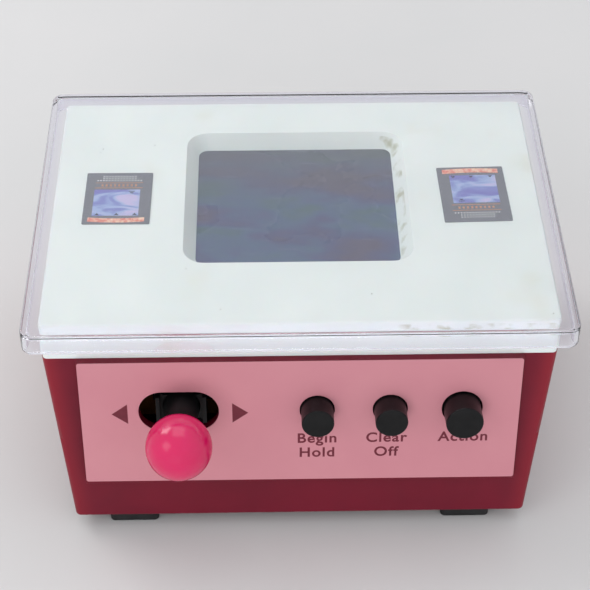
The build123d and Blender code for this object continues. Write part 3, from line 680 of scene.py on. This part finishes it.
@dataclass
class PanelPrint:
    """Arrows and short generic legends printed on the label."""

    arrow_long: float = 3.25 * MM
    arrow_high: float = 4.9 * MM
    arrow_gap: float = 10.65 * MM
    arrow_shift: float = -0.25 * MM
    arrow_drop: float = 0.5 * MM
    cap_height: float = 2.5 * MM
    first_line: float = 8.4 * MM
    line_step: float = 3.7 * MM
    bolder: float = 0.07 * MM
    lift: float = 0.02 * MM
    ink: Finish = Finish("screen_printed_ink", "#641C2C", "#6D2030", 0.55, 0.05, 1.2, 0.2, 0.002, 1.48)
    legends: dict = field(default_factory=lambda: {
        "start_button": (0.0, "Begin", "Hold"), "reset_button": (-0.6, "Clear", "Off"),
        "attack_button": (0.6, "Action")})

    def arrows(self, paint: Paint, panel: PanelFrame) -> None:
        """One arrow on each side of the stick's slot."""
        low, high = (Vector(c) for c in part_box("stick_lever"))
        middle = (low.x + high.x) / 2 + self.arrow_shift
        for name, side in (("arrow_left", -1), ("arrow_right", 1)):
            base = middle + side * self.arrow_gap
            tip = base + side * self.arrow_long
            half = self.arrow_high / 2
            drop = self.arrow_drop
            points = [panel.at(base, half - drop, self.lift), panel.at(tip, -drop, self.lift),
                      panel.at(base, -half - drop, self.lift)]
            arrow = mesh_piece(name, points, [(0, 1, 2)], CABINET, smooth=False)
            arrow.data.materials.append(paint.material(self.ink))

    def words(self, paint: Paint, panel: PanelFrame) -> None:
        """The legends below the buttons, as flat outlines of ink."""
        for node, (shift, *lines) in self.legends.items():
            low, high = (Vector(c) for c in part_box(node))
            for row, text in enumerate(lines):
                curve = bpy.data.curves.new(f"legend_{node}_{row}", "FONT")
                curve.body = text
                curve.size = self.cap_height / 0.73
                curve.align_x = "CENTER"
                curve.space_character = 1.12
                curve.offset = self.bolder
                writing = bpy.data.objects.new(f"legend_{node}_{row}", curve)
                bpy.context.scene.collection.objects.link(writing)
                mesh = bpy.data.meshes.new_from_object(writing)
                bpy.data.objects.remove(writing)
                drop = self.first_line + row * self.line_step
                mesh.transform(panel.place((low.x + high.x) / 2 + shift * MM, -drop, self.lift))
                piece = bpy.data.objects.new(f"legend_{node}_{row}", mesh)
                bpy.context.scene.collection.objects.link(piece)
                piece.data.materials.clear()
                piece.data.materials.append(paint.material(self.ink))
                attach(piece, CABINET)


@dataclass(frozen=True)
class PictureInk(Finish):
    """Four-colour print of a night sky: violet and blue clouds with one pale swirl."""

    cloud_mm: float = 5.0

    def colour(self, tree: bpy.types.NodeTree, where: bpy.types.NodeSocket) -> bpy.types.NodeSocket:
        """Clouds of violet, pale blue and a little pink, drawn out across the picture."""
        bent = add_node(tree, "ShaderNodeMapping", values={"Rotation": (0, 0, 0.5), "Scale": (0.6, 1.4, 1)},
                        links={"Vector": where})
        cloud = add_node(tree, "ShaderNodeTexNoise", values={
            "Scale": 1000 / self.cloud_mm, "Detail": 2.0, "Distortion": 0.8}, links={"Vector": bent.outputs["Vector"]})
        stops = [(0.36, self.second), (0.48, self.main), (0.56, "#9DB0D8"), (0.66, "#C2B8DC")]
        return add_ramp(tree, cloud.outputs["Fac"], stops)


@dataclass
class CardPrint:
    """What is printed on one instruction card, without any lettering, in millimetres from its middle."""

    node: str
    width: float
    height: float
    turn: float
    picture: Finish = PictureInk("printed_sky_ink", "#7E86C4", "#7674BC", 0.5, 0.05, 1.0, 0.2, 0.002, 1.45)
    banner: Finish = Finish("printed_coral_ink", "#F0CDB4", "#E07C70", 0.5, 0.05, 0.9, 0.2, 0.002, 1.45)
    rule: Finish = Finish("printed_orange_ink", "#C79A78", "#D98A5C", 0.5, 0.05, 0.7, 0.2, 0.002, 1.45)
    dot: Finish = Finish("printed_white_ink", "#F2F4F6", "#F6F7F8", 0.5, 0.05, 0.7, 0.2, 0.002, 1.45)
    mark: Finish = Finish("printed_dark_ink", "#2C2C3E", "#343448", 0.5, 0.05, 0.7, 0.2, 0.002, 1.45)
    lift: float = 0.02

    def lay(self, paint: Paint, kind: str, finish: Finish, shapes: list[list[tuple[float, float]]]) -> None:
        """Lay flat shapes of one ink on the card.

        Args:
            paint: The scene's materials.
            kind: What the shapes are, for the piece's name.
            finish: The ink.
            shapes: Outlines in millimetres, with y towards the card's top.
        """
        low, high = (Vector(c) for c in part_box(self.node))
        middle = Vector(((low.x + high.x) / 2, (low.y + high.y) / 2, high.z + self.lift * MM))
        place = Matrix.Translation(middle) @ Matrix.Rotation(math.radians(self.turn), 4, "Z")
        vertices, faces = [], []
        for shape in shapes:
            faces.append(tuple(range(len(vertices), len(vertices) + len(shape))))
            vertices += [place @ Vector((x * MM, y * MM, 0)) for x, y in shape]
        piece = mesh_piece(f"{self.node}_{kind}", vertices, faces, CABINET, smooth=False)
        piece.data.materials.append(paint.material(finish))

    def oblong(self, x: float, y: float, half_x: float, half_y: float) -> list[tuple[float, float]]:
        """An upright rectangle about a point."""
        return [(x - half_x, y - half_y), (x + half_x, y - half_y), (x + half_x, y + half_y), (x - half_x, y + half_y)]

    def build(self, paint: Paint) -> None:
        """Banner, picture with small dark marks, two rules, a row of bars and rows of dots."""
        w, h = self.width, self.height
        span = [0.42 * w * (2 * i / 12 - 1) for i in range(13)]
        bow = [0.35 * (1 - (x / (0.42 * w)) ** 2) for x in span]
        upper = [(x, 0.455 * h + b) for x, b in zip(span, bow)]
        lower = [(x, 0.375 * h + b) for x, b in zip(span, bow)]
        self.lay(paint, "banner", self.banner, [[lower[i], lower[i + 1], upper[i + 1], upper[i]] for i in range(12)])
        self.lay(paint, "picture", self.picture, [self.oblong(0.02 * w, 0.09 * h, 0.345 * w, 0.255 * h)])
        self.lift += 0.01
        wedges = [[(x - 0.5, y + 0.3), (x, y - 0.35), (x + 0.5, y + 0.3)]
                  for x, y in ((-0.27 * w, 0.315 * h), (0.0, 0.315 * h), (0.29 * w, 0.315 * h))]
        wedges += [self.oblong(-0.2 * w, -0.1 * h, 0.35, 0.15), self.oblong(-0.2 * w, -0.13 * h, 0.6, 0.12)]
        self.lay(paint, "marks", self.mark, wedges)
        rules = [self.oblong(0, y * h, 0.36 * w, 0.07) for y in (-0.2, -0.3)]
        rules += [self.oblong((i - 4) * 0.105 * 0.6 * w, -0.25 * h, 0.2, 0.32) for i in range(9)]
        self.lay(paint, "rules", self.rule, rules)
        dots = [self.oblong((i - 7.5) * 0.62, -0.345 * h, 0.14, 0.14) for i in range(16)]
        dots += [self.oblong((i - 5.5) * 0.62, y * h, 0.14, 0.14) for i in range(12) for y in (-0.385, -0.425)]
        self.lay(paint, "dots", self.dot, dots)


@dataclass
class Studio:
    """Plain pale floor, soft lights and the camera."""

    distance: float = 0.315997
    elevation: float = 44.093
    azimuth: float = 1.448
    roll: float = 0.339
    lens: float = 96.26
    aim_from_tray: Point = (-0.956 * MM, -26.895 * MM, 0.0)
    floor_half: float = 3.0

    def camera(self) -> None:
        """Look down at the tray's front half."""
        low, high = (Vector(c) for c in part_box("top_tray"))
        aim = Vector(((low.x + high.x) / 2, (low.y + high.y) / 2, high.z)) + Vector(self.aim_from_tray)
        turn = (Matrix.Rotation(math.radians(-self.azimuth), 3, "Z")
                @ Matrix.Rotation(math.radians(90 - self.elevation), 3, "X")
                @ Matrix.Rotation(math.radians(self.roll), 3, "Z"))
        data = bpy.data.cameras.new("camera")
        data.lens = self.lens
        data.clip_start = 0.01
        camera = bpy.data.objects.new("camera", data)
        camera.rotation_euler = turn.to_euler()
        camera.location = aim - turn @ Vector((0, 0, -1)) * self.distance
        bpy.context.scene.collection.objects.link(camera)
        bpy.context.scene.camera = camera

    def floor(self, paint: Paint) -> None:
        """A wide pale table top at the feet."""
        h = self.floor_half
        mesh = bpy.data.meshes.new("floor")
        mesh.from_pydata([(-h, -h, 0), (h, -h, 0), (h, h, 0), (-h, h, 0)], [], [(0, 1, 2, 3)])
        floor = bpy.data.objects.new("floor", mesh)
        finish = Finish("pale_paper_floor", "#D5D5D3", "#D8D7D5", 0.8, 0.03, 60.0, 0.8, 0.005, 1.45)
        mesh.materials.append(paint.material(finish))
        bpy.context.scene.collection.objects.link(floor)

    def lamp(self, name: str, place: Point, size: float, power: float, mirrored: bool = True) -> None:
        """Place one square soft light aimed at the object's middle.

        Args:
            name: The lamp's name.
            place: Its middle, in metres.
            size: Its side, in metres.
            power: Its power in watts.
            mirrored: Whether it shows as a highlight on glossy surfaces.
        """
        data = bpy.data.lights.new(name, "AREA")
        data.size = size
        data.energy = power
        lamp = bpy.data.objects.new(name, data)
        lamp.location = place
        lamp.visible_glossy = mirrored
        aim = Vector((0, 0, 0.04)) - Vector(place)
        lamp.rotation_euler = aim.to_track_quat("-Z", "Y").to_euler()
        bpy.context.scene.collection.objects.link(lamp)

    def lights(self) -> None:
        """A bright even sky, a key behind on the left, a weak one in front of it, a top light and a low fill."""
        self.lamp("key", (-0.5, 0.35, 0.6), 0.35, 1.4)
        self.lamp("left", (-0.55, -0.4, 0.55), 0.35, 0.42)
        self.lamp("top", (0.0, 0.2, 0.9), 0.6, 1.05)
        self.lamp("low", (-0.15, -1.0, 0.06), 0.5, 4.7, mirrored=False)
        world = bpy.data.worlds.new("studio")
        world.use_nodes = True
        sky = world.node_tree.nodes["Background"]
        sky.inputs["Color"].default_value = linear("#F4F5FA")
        sky.inputs["Strength"].default_value = 0.84
        bpy.context.scene.world = world
        bpy.context.scene.view_settings.view_transform = "Standard"

    def build(self, paint: Paint) -> None:
        """Set up the whole stage."""
        self.camera()
        self.floor(paint)
        self.lights()


def main() -> None:
    """Dress the CAD frame, add the finer pieces and set the stage."""
    logging.basicConfig(level=logging.INFO)
    paint = Paint()
    panel = PanelFrame()
    paint.dress_cad()
    LOG.info("dressed %d CAD nodes", len(frame["nodes"]))
    ClearCover().build(paint)
    LOG.info("clear cover")
    BallKnob().build(paint, panel)
    LOG.info("ball knob")
    KeyDomes().build(paint, panel)
    LOG.info("key domes")
    printing = PanelPrint()
    printing.arrows(paint, panel)
    printing.words(paint, panel)
    LOG.info("panel print")
    CardPrint("instruction_card_left", 14.2, 16.6, 179.5).build(paint)
    CardPrint("instruction_card_right", 14.4, 17.8, 1.2).build(paint)
    LOG.info("card prints")
    Studio().build(paint)
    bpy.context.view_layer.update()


if __name__ == "__main__":
    main()
